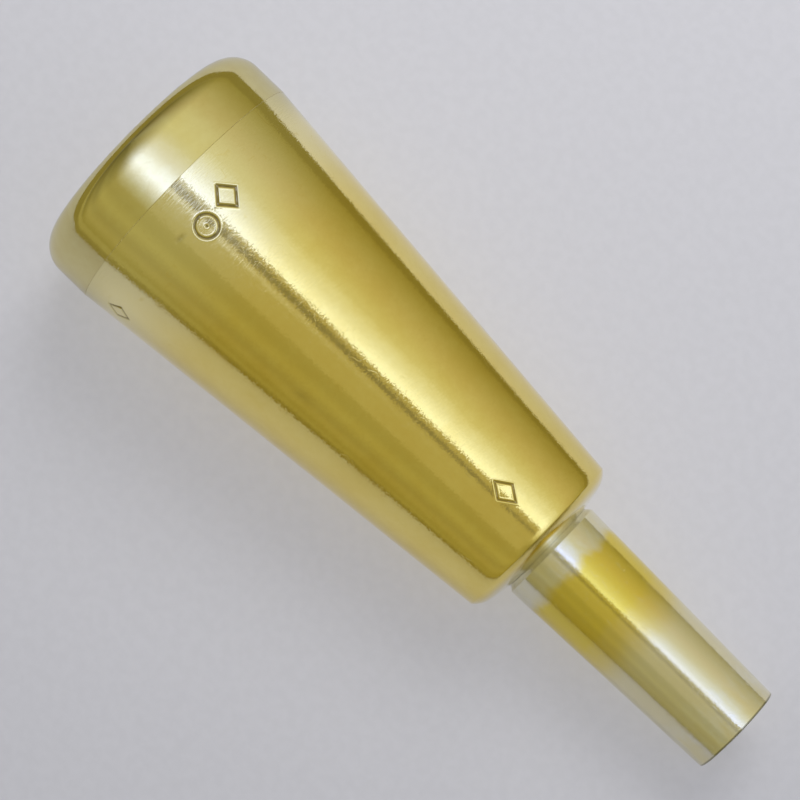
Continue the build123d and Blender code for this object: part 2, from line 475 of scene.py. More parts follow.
class Effects:
    """The shader node groups that the finishes share, each built once."""

    def __init__(self) -> None:
        """Builds the groups."""
        self.around = self._around()
        self.lines = self._lines()
        self.hairs = self._hairs()
        self.patches = self._patches()
        self.band = self._band()
        self.grain = self._grain()

    @staticmethod
    def _start(name: str, inputs: dict[str, float], outputs: dict[str, str]) -> tuple[Graph, Any, Any]:
        """Makes an empty group with named sockets.

        Args:
            name: The group's name.
            inputs: Name and first value of each number input.
            outputs: Name and socket type of each output.

        Returns:
            Its graph, the sockets that bring values in, and those that take them out.
        """
        tree = bpy.data.node_groups.new(name, "ShaderNodeTree")
        for key, value in inputs.items():
            socket = tree.interface.new_socket(key, in_out="INPUT", socket_type="NodeSocketFloat")
            socket.default_value = value
        for key, kind in outputs.items():
            tree.interface.new_socket(key, in_out="OUTPUT", socket_type=kind)
        graph = Graph(tree)
        return graph, graph.add("NodeGroupInput").outputs, graph.add("NodeGroupOutput").inputs

    @staticmethod
    def _end(g: Graph, out: Any, **results: Socket) -> bpy.types.NodeTree:
        """Wires a group's results to its outputs.

        Args:
            g: The group's graph.
            out: The sockets that take values out.
            results: The result for each output.

        Returns:
            The finished group.
        """
        for key, result in results.items():
            g.link(result, out[key])
        return g.tree

    @staticmethod
    def use(g: Graph, group: bpy.types.NodeTree, **values: float | Socket) -> Any:
        """Places a group with values for its inputs, and returns its outputs."""
        return g.add("ShaderNodeGroup", values, node_tree=group).outputs

    def _place(self, g: Graph, given: Any, along: str = "Along", around: str = "Around") -> Any:
        """Coordinates about the bore, scaled by two of a group's own inputs."""
        return self.use(g, self.around, Along=given[along], Around=given[around], Seed=given["Seed"])

    def _around(self) -> bpy.types.NodeTree:
        """Coordinates that run along the bore and around it, without a seam.

        Returns:
            The finished group.
        """
        g, given, out = self._start("around_bore", {"Along": 1000.0, "Around": 10.0, "Seed": 0.0},
                                    {"Vector": "NodeSocketVector", "Station": "NodeSocketFloat"})
        x, *sides = g.coordinates()
        radius = g.math("MAXIMUM", g.math("SQRT", g.plus(*(g.times(side, side) for side in sides))), 1e-6)
        along = g.plus(g.times(g.minus(x, radius), given["Along"]), given["Seed"])
        turned = [g.times(g.math("DIVIDE", side, radius), given["Around"]) for side in sides]
        vector = g.add("ShaderNodeCombineXYZ", dict(enumerate((along, *turned)))).outputs[0]
        return self._end(g, out, Vector=vector, Station=g.plus(g.times(x, 1 / MM), AXIS_STATION))

    def _lines(self) -> bpy.types.NodeTree:
        """Short fine lines around the piece, as a polishing wheel and a lathe leave them.

        Returns:
            The finished group.
        """
        g, given, out = self._start("turning_lines", {"Fineness": 9000.0, "Shortness": 14.0, "Seed": 0.0},
                                    {"Height": "NodeSocketFloat", "Mask": "NodeSocketFloat"})
        height = g.noise(self._place(g, given, "Fineness", "Shortness")["Vector"], 3.0, 0.6)
        return self._end(g, out, Height=height, Mask=g.remap(height, 0.56, 0.70))

    def _hairs(self) -> bpy.types.NodeTree:
        """Thin scratches that wander off the turning direction.

        Returns:
            The finished group.
        """
        g, given, out = self._start("hairlines", {"Along": 500.0, "Around": 5.0, "Width": 0.02, "Seed": 0.0},
                                    {"Mask": "NodeSocketFloat"})
        line = g.math("ABSOLUTE", g.minus(g.noise(self._place(g, given)["Vector"], 1.0, 0.4), 0.5))
        thin = g.minus(1.0, g.math("MINIMUM", g.math("DIVIDE", line, given["Width"]), 1.0))
        apart = self.use(g, self.around, Along=g.times(given["Along"], 0.6), Around=9.0,
                         Seed=g.plus(given["Seed"], 31.0))
        broken = g.remap(g.noise(apart["Vector"], 2.0), 0.52, 0.62)
        return self._end(g, out, Mask=g.times(thin, broken))

    def _patches(self) -> bpy.types.NodeTree:
        """Soft blotches of tarnish and handling.

        Returns:
            The finished group.
        """
        inputs = {"Along": 180.0, "Around": 2.4, "Level": 0.5, "Softness": 0.14, "Seed": 0.0}
        g, given, out = self._start("patches", inputs, {"Mask": "NodeSocketFloat"})
        value = g.noise(self._place(g, given)["Vector"], 5.0, 0.62)
        low, high = (g.math(way, given["Level"], given["Softness"]) for way in ("SUBTRACT", "ADD"))
        return self._end(g, out, Mask=g.remap(value, low, high))

    def _band(self) -> bpy.types.NodeTree:
        """A band between two stations with ragged edges.

        Returns:
            The finished group.
        """
        inputs = {"From": 0.0, "To": 1.0, "Softness": 0.3, "Raggedness": 1.0, "Grain": 400.0, "Seed": 0.0}
        g, given, out = self._start("ragged_band", inputs, {"Mask": "NodeSocketFloat"})
        place = self.use(g, self.around, Along=given["Grain"], Around=4.0, Seed=given["Seed"])
        stray = g.times(g.minus(g.noise(place["Vector"], 5.0, 0.6), 0.5), given["Raggedness"])
        at = g.plus(place["Station"], stray)
        rise = g.math("DIVIDE", g.minus(at, given["From"]), given["Softness"])
        fall = g.math("DIVIDE", g.minus(given["To"], at), given["Softness"])
        return self._end(g, out, Mask=g.remap(g.math("MINIMUM", rise, fall), 0.0, 1.0))

    def _grain(self) -> bpy.types.NodeTree:
        """Short strokes of the polishing cloth that tip the surface a little around the bore.

        Returns:
            The finished group.
        """
        inputs = {"Along": 8500.0, "Around": 60.0, "Tilt": 0.06, "Seed": 0.0}
        g, given, out = self._start("cloth_grain", inputs, {"Normal": "NodeSocketVector"})
        tilt = g.times(g.minus(g.noise(self._place(g, given)["Vector"]), 0.5), given["Tilt"])
        normal = g.add("ShaderNodeNewGeometry").outputs["Normal"]
        tipped = g.vector("MULTIPLY_ADD", g.vector("CROSS_PRODUCT", (1, 0, 0), normal), tilt, normal)
        return self._end(g, out, Normal=g.vector("NORMALIZE", tipped))


@dataclass(frozen=True)
class ToneBand:
    """A stretch of the piece where the plating has another tone, or where shade is painted, with ragged
    edges.
    """

    start: float
    end: float
    softness: float
    raggedness: float
    colour: Colour
    grain: float = 400.0


@dataclass(frozen=True)
class Plating:
    """Polished plating over brass, with turning lines, scratches, tarnish, worn bands and bands of painted
    shade.
    """

    name: str
    bright: Colour
    dull: Colour
    roughness: float = 0.09
    dull_roughness: float = 0.05
    fineness: float = 9000.0
    shortness: float = 14.0
    line_height: float = 0.0008
    scratch_height: float = 0.0015
    patch_level: float = 0.55
    cloth_tilt: float = 0.11
    # Colour that marks, nicks and thread grooves darken towards, deeper ones more.
    hollow_tone: Colour = (0.22, 0.17, 0.09)
    hollow_tone_share: float = 0.8
    fleck_share: float = 0.5
    line_share: float = 0.14
    line_roughness: float = 0.05
    scratch_share: float = 0.3
    scratch_roughness: float = 0.12
    metallic: float = 1.0
    seed: float = 0.0
    bands: tuple[ToneBand, ...] = ()

    def material(self, effects: Effects) -> bpy.types.Material:
        """Builds the finish.

        Args:
            effects: The shared node groups.

        Returns:
            A new material.
        """
        made = bpy.data.materials.new(self.name)
        made.use_nodes = True
        g = Graph(made.node_tree)
        shader = next(n for n in g.tree.nodes if n.type == "BSDF_PRINCIPLED").inputs
        lines = effects.use(g, effects.lines, Fineness=self.fineness, Shortness=self.shortness,
                            Seed=self.seed)
        scratches = effects.use(g, effects.hairs, Seed=self.seed + 3)["Mask"]
        patches = effects.use(g, effects.patches, Level=self.patch_level, Seed=self.seed + 11)["Mask"]
        flecks = effects.use(g, effects.patches, Along=1100.0, Around=11.0, Softness=0.2,
                             Seed=self.seed + 41)["Mask"]
        colour = g.mix(patches, self.bright, self.dull)
        colour = g.mix(g.times(flecks, self.fleck_share), colour, self.dull)
        for number, band in enumerate(self.bands):
            mask = effects.use(g, effects.band, From=band.start, To=band.end, Softness=band.softness,
                               Raggedness=band.raggedness, Grain=band.grain,
                               Seed=self.seed + 17 + number)["Mask"]
            colour = g.mix(mask, colour, band.colour)
        colour = g.mix(g.times(lines["Mask"], self.line_share), colour, self.dull)
        colour = g.mix(g.times(scratches, self.scratch_share), colour, self.dull)
        hollow = g.add("ShaderNodeAttribute", attribute_name=HOLLOW).outputs["Fac"]
        # Marks, nicks and thread grooves get darker with depth.
        colour = g.mix(g.times(hollow, self.hollow_tone_share), colour, self.hollow_tone)
        rough = g.plus(self.roughness, g.times(patches, self.dull_roughness))
        rough = g.plus(rough, g.times(scratches, self.scratch_roughness))
        rough = g.plus(rough, g.times(lines["Mask"], self.line_roughness))
        height = g.minus(g.times(lines["Height"], self.line_height), g.times(scratches, self.scratch_height))
        grain = effects.use(g, effects.grain, Tilt=self.cloth_tilt, Seed=self.seed + 29)["Normal"]
        bump = g.add("ShaderNodeBump", {"Height": height, "Distance": MM, "Strength": 1.0, "Normal": grain})
        g.link(colour, shader["Base Color"])
        g.link(rough, shader["Roughness"])
        g.link(bump.outputs[0], shader["Normal"])
        shader["Metallic"].default_value = self.metallic
        return made


RIM_GOLD = Plating(
    "rim_polished_gold", bright=(0.89, 0.79, 0.38), dull=(0.84, 0.72, 0.31), roughness=0.07,
    line_height=0.003, scratch_height=0.001, cloth_tilt=0.03, seed=2.0)
BODY_GOLD = Plating(
    "body_turned_gold", bright=(0.90, 0.735, 0.235), dull=(0.86, 0.68, 0.19), roughness=0.07,
    line_height=0.008, scratch_height=0.002, seed=5.0,
    bands=(ToneBand(-9.0, 21.0, 12.0, 4.0, (0.92, 0.82, 0.42), grain=150.0),
           ToneBand(54.2, 60.0, 1.3, 0.3, (0.84, 0.82, 0.69))))
BACKBORE_SILVER = Plating(
    "backbore_silver", bright=(0.80, 0.77, 0.68), dull=(0.62, 0.56, 0.42), roughness=0.16,
    line_height=0.012, patch_level=0.48, seed=8.0)
SLEEVE_SILVER = Plating(
    "sleeve_worn_silver", bright=(0.77, 0.745, 0.60), dull=(0.76, 0.69, 0.42), roughness=0.08,
    line_height=0.010, scratch_height=0.003, patch_level=0.52, metallic=0.86, seed=13.0,
    bands=(ToneBand(60.0, 79.0, 6.0, 9.0, (0.77, 0.705, 0.45), grain=260.0),
           ToneBand(57.6, 70.0, 4.5, 2.0, (0.77, 0.62, 0.16), grain=300.0),
           ToneBand(58.1, 65.6, 1.3, 2.6, (0.77, 0.61, 0.10), grain=300.0),
           # Painted shade: the dark band at the open end stands in for the shadow at the sleeve's tip.
           ToneBand(80.45, 82.0, 0.12, 0.1, (0.32, 0.30, 0.20))))


@dataclass
class Sizes:
    """Driving sizes that more than one piece uses, in millimetres."""

    rim_diameter: float = 27.4
    rim_height: float = 6.6
    cup_diameter: float = 16.8
    inner_edge_radius: float = 1.5
    land_width: float = 0.8
    tenon_wall: float = 1.9
    tenon_length: float = 4.0
    rim_thread_pitch: float = 0.635
    cup_wall_slope: float = 0.11
    body_length: float = 48.9
    shank_length: float = 25.2
    shank_end_diameter: float = 9.75
    sleeve_tip_wall: float = 0.4
    throat_diameter: float = 3.66
    bowl_depth: float = 5.4
    throat_in_body: float = 8.0
    stop_step: float = 0.3
    stem_thread_length: float = 10.0
    stem_thread_setback: float = 1.5
    stem_thread_pitch: float = 0.79375
    pilot_step: float = 0.1
    seam_chamfer: float = 0.012
    seated: float = 0.024  # how far a seated edge reaches over the gap in front of it
    crest_gap: float = 0.04
    running_gap: float = 0.03
    seat_gap: float = 0.03

    @property
    def cup_radius(self) -> float:
        """Radius at the cup's mouth."""
        return self.cup_diameter / 2

    @property
    def tenon_end(self) -> float:
        """Station of the rim's rear face."""
        return self.rim_height + self.tenon_length

    @property
    def tenon_radius(self) -> float:
        """Crest of the rim's thread."""
        return self.cup_radius + self.tenon_wall

    @property
    def throat_radius(self) -> float:
        """Radius of the throat."""
        return self.throat_diameter / 2

    @property
    def nose(self) -> float:
        """Station where the cup body hands over to the backbore."""
        return self.tenon_end + self.bowl_depth + self.throat_in_body

    @property
    def shoulder(self) -> float:
        """Station of the cup body's rear face."""
        return self.rim_height + self.body_length

    @property
    def overall(self) -> float:
        """Whole length."""
        return self.shoulder + self.shank_length

    @property
    def spigot_radius(self) -> float:
        """Outside of the backbore's plain end."""
        return self.shank_end_diameter / 2 - self.sleeve_tip_wall - self.running_gap

    @property
    def stem_thread_radius(self) -> float:
        """Crest of the backbore's thread."""
        return self.spigot_radius + self.stop_step

    def cup_wall(self, station: float) -> float:
        """Radius of the cup's straight wall at a station."""
        return self.cup_radius - self.cup_wall_slope * (station - self.inner_edge_radius)

    def rim_thread(self) -> ScrewThread:
        """Thread of the rim's tenon."""
        return ScrewThread(self.rim_height + self.rim_thread_pitch, self.tenon_end, self.tenon_radius,
                           self.rim_thread_pitch)

    def stem_thread(self) -> ScrewThread:
        """Thread of the backbore."""
        end = self.shoulder - self.stem_thread_setback
        return ScrewThread(end - self.stem_thread_length, end, self.stem_thread_radius,
                           self.stem_thread_pitch, end_at_root=False)


@dataclass
class Piece:
    """One part of the mouthpiece that comes off on its own."""

    sizes: Sizes
    lathe: Lathe
    finish: Plating
    node: str
    slot: str
    name: str
    reliefs: tuple[Relief, ...] = field(default=())
    fine: tuple[tuple[float, float, float], ...] = field(default=())

    def outline(self) -> Outline:
        """Closed outline of the piece, going along +X on the outside."""
        raise NotImplementedError

    def build(self, effects: Effects) -> bpy.types.Object:
        """Makes the piece, dresses it and sets it on its body.

        Args:
            effects: The shared node groups.

        Returns:
            The finished object.
        """
        made = self.lathe.turn(self.name, self.outline(), self.reliefs, self.fine)
        made.data.materials.append(self.finish.material(effects))
        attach(made, self.node)
        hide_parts(self.node)
        log.info("%s: %d faces, in %s", self.name, len(made.data.polygons), self.finish.name)
        return made


@dataclass
class ScrewRim(Piece):
    """Polished ring with a rounded outer edge, a narrow land and a threaded tenon."""

    def outline(self) -> Outline:
        """Outline from the land over the outer edge, back along the thread and up the cup wall.

        Returns:
            The closed outline, as stations and radii.
        """
        s = self.sizes
        outer = s.rim_diameter / 2
        land_inner = s.cup_radius + s.inner_edge_radius
        edge = outer - land_inner - s.land_width
        thread = s.rim_thread()
        root = thread.crest - thread.depth
        seam = s.rim_height + s.seated
        return [
            *arc((edge, outer - edge), edge, 180, 90, 26),
            *[(x, outer) for x in spread(edge, seam - s.seam_chamfer, 0.4)[1:]],
            (seam, outer - s.seam_chamfer),
            (seam, root),
            *thread.rows(),
            (s.tenon_end, s.cup_wall(s.tenon_end)),
            *[(x, s.cup_wall(x)) for x in spread(s.tenon_end, s.inner_edge_radius, 0.6)[1:-1]],
            *arc((s.inner_edge_radius, land_inner), s.inner_edge_radius, 270, 180, 16),
        ]


@dataclass
class CupBody(Piece):
    """Cone with the bowl and the throat, open at the front for the rim and at the back for the backbore."""

    body_rear_diameter: float = 18.16
    rim_step: float = 0.02
    shoulder_radius: float = 2.9
    shoulder_break: float = 38.0  # degrees that the round is turned where it leaves the cone's edge
    rear_face_turn: float = 80.0
    bowl_start: float = 1.9
    bowl_radius: float = 3.0
    throat_entry_round: float = 2.0
    marks: tuple[PunchMark, ...] = ()
    nicks: tuple[Nick, ...] = ()
    grain: float = 0.075  # spacing of the rows and columns under a mark

    @property
    def front(self) -> float:
        """Station of the front face."""
        return self.sizes.rim_height + self.sizes.seat_gap

    @property
    def front_radius(self) -> float:
        """Radius of the cone at its front."""
        return self.sizes.rim_diameter / 2 - self.rim_step

    def rear(self) -> tuple[Outline, float]:
        """The round behind the cone's edge and the rear face.

        Returns:
            Their points up to the pocket, and the station of the cone's edge.
        """
        rise = math.radians(90 - self.rear_face_turn)
        pocket = self.sizes.stem_thread_radius + self.sizes.crest_gap
        drop = math.cos(math.radians(self.shoulder_break)) - math.sin(rise)
        top = self.body_rear_diameter / 2 - self.shoulder_radius * drop
        start = self.sizes.shoulder - (top - pocket) * math.tan(rise)
        centre = (start - self.shoulder_radius * math.cos(rise), top - self.shoulder_radius * math.sin(rise))
        points = arc(centre, self.shoulder_radius, 90 - self.shoulder_break, 90 - self.rear_face_turn, 14)
        return [*points, (self.sizes.shoulder, pocket)], points[0][0]

    def cone_radius(self, station: float | np.ndarray) -> float | np.ndarray:
        """Radius of the cone.

        Args:
            station: One station or many.

        Returns:
            The radius at each.
        """
        start = self.front + self.sizes.seam_chamfer
        fall = (self.front_radius - self.body_rear_diameter / 2) / (self.rear()[1] - start)
        return self.front_radius - fall * (station - start)

    def on_cone(self, cut: Relief) -> Relief:
        """Limits a cut to the outside of the cone.

        Args:
            cut: The cut.

        Returns:
            The limited cut.
        """
        def limited(stations: np.ndarray, turns: np.ndarray, radii: np.ndarray) -> np.ndarray:
            """The cut, or nothing on every other surface."""
            outside = np.abs(radii - self.cone_radius(stations)) < 1e-3
            return np.where(outside, cut(stations, turns, radii), 0.0)

        return limited

    def cone_rows(self) -> list[float]:
        """Stations of the cone's rows, closer together under the marks.

        Returns:
            The stations in rising order.
        """
        first = self.front + self.sizes.seam_chamfer
        last = self.rear()[1]
        reaches = sorted((m.station - m.reach()[0], m.station + m.reach()[0]) for m in self.marks)
        rows, at = [first], first
        for start, end in reaches:
            start = max(start, at)
            if end <= at:
                continue
            if start > at:
                rows += spread(at, start, 0.9)[1:]
            rows += spread(start, end, self.grain)[1:]
            at = end
        return rows + spread(at, last, 0.9)[1:-1]

    def fine_turns(self) -> tuple[tuple[float, float, float], ...]:
        """Closer stretches of segments under the marks, joined where they meet.

        Returns:
            Start, end and step of each, in degrees.
        """
        joined: list[list[float]] = []
        for mark in sorted(self.marks, key=lambda m: m.turn):
            half = math.degrees(mark.reach()[1] / self.cone_radius(mark.station))
            if joined and mark.turn - half <= joined[-1][1]:
                joined[-1][1] = max(joined[-1][1], mark.turn + half)
            else:
                joined.append([mark.turn - half, mark.turn + half])
        step = math.degrees(self.grain / self.front_radius)
        return tuple((start, end, step) for start, end in joined)

    def outline(self) -> Outline:
        """Outline over the cone, and back through the pocket, the throat, the bowl and the socket.

        Returns:
            The closed outline, as stations and radii.
        """
        s = self.sizes
        rim_thread, stem = s.rim_thread(), s.stem_thread()
        socket = s.tenon_radius + s.crest_gap
        pocket = s.stem_thread_radius + s.crest_gap
        pilot = s.stem_thread_radius - stem.depth - s.pilot_step + s.running_gap
        floor = s.tenon_end + s.seat_gap
        corner = (s.tenon_end + self.bowl_start, s.cup_wall(s.tenon_end + self.bowl_start))
        throat = (s.tenon_end + s.bowl_depth, s.throat_radius)
        nut = ScrewThread(stem.start, stem.end, pocket, stem.pitch)
        neck = floor - s.rim_thread_pitch
        front_nut = ScrewThread(self.front, neck, socket, s.rim_thread_pitch)
        pocket_neck = stem.start - stem.pitch
        return [
            (self.front, self.front_radius - s.seam_chamfer),
            *[(x, self.cone_radius(x)) for x in self.cone_rows()],
            *self.rear()[0],
            (stem.end, pocket),
            *reversed(nut.grooves()),
            (stem.start, pocket + stem.depth),
            (pocket_neck, pocket + stem.depth),
            (pocket_neck, pilot),
            (s.nose, pilot),
            (s.nose, s.throat_radius),
            *rounded((s.nose, s.throat_radius), throat, corner, self.throat_entry_round, 10),
            *rounded(throat, corner, (floor, s.cup_wall(floor)), self.bowl_radius, 12),
            (floor, s.cup_wall(floor)),
            (floor, socket + rim_thread.depth),
            (neck, socket + rim_thread.depth),
            *reversed(front_nut.grooves()),
            (self.front, socket),
        ]

    def build(self, effects: Effects) -> bpy.types.Object:
        """Makes the body with its marks and nicks.

        Args:
            effects: The shared node groups.

        Returns:
            The finished object.
        """
        self.reliefs = tuple(self.on_cone(m.cut) for m in (*self.marks, *self.nicks))
        self.fine = self.fine_turns()
        return super().build(effects)


@dataclass
class Backbore(Piece):
    """Stem with a pilot and a thread inside the cup body, and a plain spigot under the sleeve."""

    throat_in_backbore: float = 5.0
    spigot_wall: float = 0.45
    nose_chamfer: float = 0.4

    def outline(self) -> Outline:
        """Outline from the nose along the pilot, the thread and the spigot, and back up the air passage.

        Returns:
            The closed outline, as stations and radii.
        """
        s = self.sizes
        thread = s.stem_thread()
        pilot = thread.crest - thread.depth - s.pilot_step
        nose = s.nose + s.seat_gap
        spigot = s.shoulder + s.seat_gap
        neck = thread.start - thread.pitch
        return [
            (nose, s.throat_radius),
            (nose, pilot - self.nose_chamfer),
            (nose + self.nose_chamfer, pilot),
            *[(x, pilot) for x in spread(nose + self.nose_chamfer, neck, 2.0)[1:]],
            *thread.rows(),
            (spigot, s.stem_thread_radius),
            (spigot, s.spigot_radius),
            *[(x, s.spigot_radius) for x in spread(spigot, s.overall, 2.0)[1:]],
            (s.overall, s.spigot_radius - self.spigot_wall),
            (nose + self.throat_in_backbore, s.throat_radius),
        ]


@dataclass
class ShankSleeve(Piece):
    """Thin tapered sleeve that fits an instrument's receiver."""

    taper: float = 1 / 19
    top_chamfer: float = 0.45
    top_dish: float = 0.17  # how far the top face leans to follow the cup body's rear face
    tip_chamfer: float = 0.08

    def outline(self) -> Outline:
        """Outline from the top edge down the taper to the open end, and back through the hole.

        Returns:
            The closed outline, as stations and radii.
        """
        s = self.sizes
        seat = s.shoulder + 2 * s.seat_gap
        top = seat - 2 * s.seated
        pocket = s.stem_thread_radius + s.crest_gap
        end = s.shank_end_diameter / 2
        top_radius = end + (s.overall - top) * self.taper / 2
        hole = s.spigot_radius + s.running_gap
        start = (top + self.top_chamfer, top_radius - self.top_chamfer * self.taper / 2)
        tip = (s.overall - self.tip_chamfer, end)
        share = (start[1] - tip[1]) / (tip[0] - start[0])
        inner = top_radius - self.top_chamfer
        return [
            (seat, hole),
            (seat, pocket),
            (top, pocket),
            (top - (inner - pocket) * self.top_dish, inner),
            *[(x, start[1] - (x - start[0]) * share) for x in spread(start[0], tip[0], 0.8)],
            (s.overall, end - self.tip_chamfer),
            (s.overall, hole),
        ]


@dataclass(frozen=True)
class SkyStop:
    """One colour of the surrounding light at an angle about the bore, from +Z towards +Y."""

    angle: float
    colour: Colour


@dataclass(frozen=True)
class Lamp:
    """A round soft lamp that lights the sheet and isn't mirrored in the plating."""

    name: str
    power: float  # watts
    size: float  # metres across
    away: tuple[float, float, float]  # metres from the middle of the mouthpiece
    shadow: bool

    def hang(self, middle: Vector) -> None:
        """Hangs the lamp.

        Args:
            middle: The middle of the mouthpiece, to which it turns, in metres.
        """
        data = bpy.data.lights.new(self.name, "AREA")
        data.shape, data.size, data.energy, data.use_shadow = "DISK", self.size, self.power, self.shadow
        lamp = add_object(self.name, data)
        away = Vector(self.away)
        lamp.location = middle + away
        lamp.rotation_mode = "QUATERNION"
        lamp.rotation_quaternion = (-away).to_track_quat("-Z", "Y")
        lamp.visible_glossy = lamp.visible_camera = False


@dataclass
class Studio:
    """Pale floor and soft light around the mouthpiece."""

    sizes: Sizes
    floor_colour: Colour = (0.580, 0.577, 0.610)
    floor_half: float = 1.6  # metres
    level_over: float = 0.014  # metres past the shank's end in which the floor turns level with the bore
    paper_half: float = 0.093  # metres from the bore's line to where the bright sheet ends
    paper_front: float = 0.055  # metres in front of the rim
    paper_blur: float = 1.12  # how far past its edge the sheet fades in the plating, as a factor
    mirrored_shares: tuple[float, float] = (0.80, 1.0)  # painted shade: the sheet's tone in the plating, darkened at the rim and full further on
    share_step: tuple[float, float] = (-2.0, 3.0)  # millimetres past the rim where that tone changes
    # Painted reflection: colours that glow in the plating past the sheet's edge, a dark painted shade line
    # next to the sheet and a table colour beyond.
    painted_edge_shade: Colour = (0.25, 0.22, 0.075)
    painted_table_reflection: Colour = (0.36, 0.33, 0.14)
    edge_fade: tuple[float, float] = (1.5, 2.5)  # where the painted dark edge shade ends and the painted table reflection begins, in halves of the sheet
    ring_corner: tuple[float, float] = (6.56, 13.7)  # station and radius that lie on the floor
    cone_rear: tuple[float, float] = (54.0, 9.08)  # the same at the cone's other end
    room_on_floor: float = 0.22
    lamps: tuple[Lamp, ...] = (
        Lamp("key", 0.75, 0.4, (-0.16, 0.30, 0.50), True),
        Lamp("fill", 2.2, 0.3, (-0.16, 0.28, 0.38), False),
    )
    room: tuple[SkyStop, ...] = (
        SkyStop(-180, (0.55, 0.55, 0.54)), SkyStop(-96, (0.36, 0.33, 0.18)),
        SkyStop(-92, (0.30, 0.27, 0.09)), SkyStop(-82, (0.389, 0.353, 0.155)),
        SkyStop(-74, (0.344, 0.314, 0.142)), SkyStop(-62, (0.428, 0.40, 0.187)),
        SkyStop(-52, (0.377, 0.352, 0.166)), SkyStop(-42, (0.395, 0.369, 0.182)),
        SkyStop(-32, (0.378, 0.355, 0.185)), SkyStop(-22, (0.49, 0.465, 0.27)),
        SkyStop(0, (0.62, 0.60, 0.40)), SkyStop(20, (0.70, 0.70, 0.56)), SkyStop(36, (0.65, 0.64, 0.50)),
        SkyStop(52, (0.55, 0.51, 0.35)), SkyStop(76, (0.40, 0.37, 0.19)), SkyStop(92, (0.30, 0.27, 0.09)),
        SkyStop(96, (0.36, 0.33, 0.18)), SkyStop(180, (0.55, 0.55, 0.54)),
    )
    window: tuple[SkyStop, ...] = (
        SkyStop(-44, (0, 0, 0)), SkyStop(-36, (0.15, 0.18, 0.25)), SkyStop(-28, (0.38, 0.46, 0.8)),
        SkyStop(-20, (0.64, 0.82, 1.65)), SkyStop(-12, (0.50, 0.66, 1.4)), SkyStop(-4, (0.24, 0.33, 0.74)),
        SkyStop(12, (0.04, 0.06, 0.12)), SkyStop(20, (0, 0, 0)),
    )
    window_front: Colour = (1.08, 1.12, 1.4)  # tint of the window's end over the rim
    tint_end: tuple[float, float] = (5.0, 8.5)  # angles along the bore where that tint fades
    window_swing: Slope = Slope(-6.4, 12.6, 0.0, 20.0)  # its turn about the bore by the angle along it
    window_front_end: tuple[float, float] = (-72.0, -8.0)  # angles along the bore where the window fades in
    window_rear_end: tuple[float, float] = (70.0, 26.0)
    room_front: Slope = Slope(-100.0, -24.0, 0.25, 1.0)  # the room's strength by the angle along the bore
    room_rear: Slope = Slope(100.0, 36.0, 0.35, 1.0)

    @staticmethod
    def ramp(g: Graph, angle: Socket, stops: tuple[SkyStop, ...]) -> Socket:
        """Adds a colour ramp over the whole turn about the bore.

        Args:
            g: The world's graph.
            angle: Angle in degrees, as a socket.
            stops: The colours, in rising order of angle.

        Returns:
            The ramp's colour.
        """
        node = g.add("ShaderNodeValToRGB", {0: g.remap(angle, -180, 180, smooth=False)})
        ends = node.color_ramp.elements
        for number, stop in enumerate(stops):
            place = (stop.angle + 180) / 360
            element = ends[number] if number < 2 else ends.new(place)
            element.position = place
            element.color = (*stop.colour, 1)
        return node.outputs["Color"]

    def light_room(self) -> None:
        """Sets the surrounding light: a warm room with one broad cool window above."""
        world = bpy.data.worlds.new("room")
        bpy.context.scene.world = world
        world.use_nodes = True
        g = Graph(world.node_tree)
        g.tree.nodes.clear()
        way = g.coordinates("Generated")
        about = g.math("DEGREES", g.math("ARCTAN2", way[1], way[2]))
        along = g.math("DEGREES", g.math("ARCSINE", way[0]))
        swung = g.minus(about, self.window_swing.at(g, along))
        near = g.times(g.remap(along, *self.window_front_end), g.remap(along, *self.window_rear_end))
        window = g.mix(near, (0, 0, 0), self.ramp(g, swung, self.window))
        tint = g.mix(g.remap(along, *self.tint_end), self.window_front, (1, 1, 1))
        window = g.mix(1.0, window, tint, "MULTIPLY")
        total = g.mix(1.0, self.ramp(g, about, self.room), window, "ADD")
        side = g.times(self.room_front.at(g, along), self.room_rear.at(g, along))
        ray = g.add("ShaderNodeLightPath").outputs["Is Diffuse Ray"]
        power = g.times(side, Slope(0.0, 1.0, 1.0, self.room_on_floor).at(g, ray))
        back = g.add("ShaderNodeBackground", {"Color": total, "Strength": power})
        g.link(back.outputs[0], g.add("ShaderNodeOutputWorld").inputs[0])

    def floor_material(self) -> bpy.types.Material:
        """Pale uncoated paper with a faint fibre, seen through from below; in reflections it gets painted
        shade near the rim, and a painted glowing table with a dark edge past the sheet.

        Returns:
            A new material.
        """
        made, g = empty_material("floor_paper")
        place = g.add("ShaderNodeTexCoord").outputs["Object"]
        fibre = g.add("ShaderNodeTexNoise", {"Vector": place, "Scale": 900.0, "Detail": 4.0}).outputs[0]
        tone = g.mix(g.remap(fibre, 0.3, 0.7), tuple(c * 0.97 for c in self.floor_colour), self.floor_colour)
        ray = g.add("ShaderNodeLightPath").outputs["Is Glossy Ray"]
        x, y, _ = g.coordinates()
        # Painted shade: in the plating's reflection the sheet is darker near the rim.
        under, past = self.mirrored_shares
        painted_reflected_shade = g.remap(x, *(step * MM for step in self.share_step), 1 - under, 1 - past)
        tone = g.mix(g.times(ray, painted_reflected_shade), tone, (0, 0, 0))
        bump = g.add("ShaderNodeBump", {"Height": fibre, "Distance": 0.02 * MM, "Strength": 0.3})
        paper = g.add("ShaderNodeBsdfDiffuse", {"Color": tone, "Normal": bump.outputs[0]}).outputs[0]
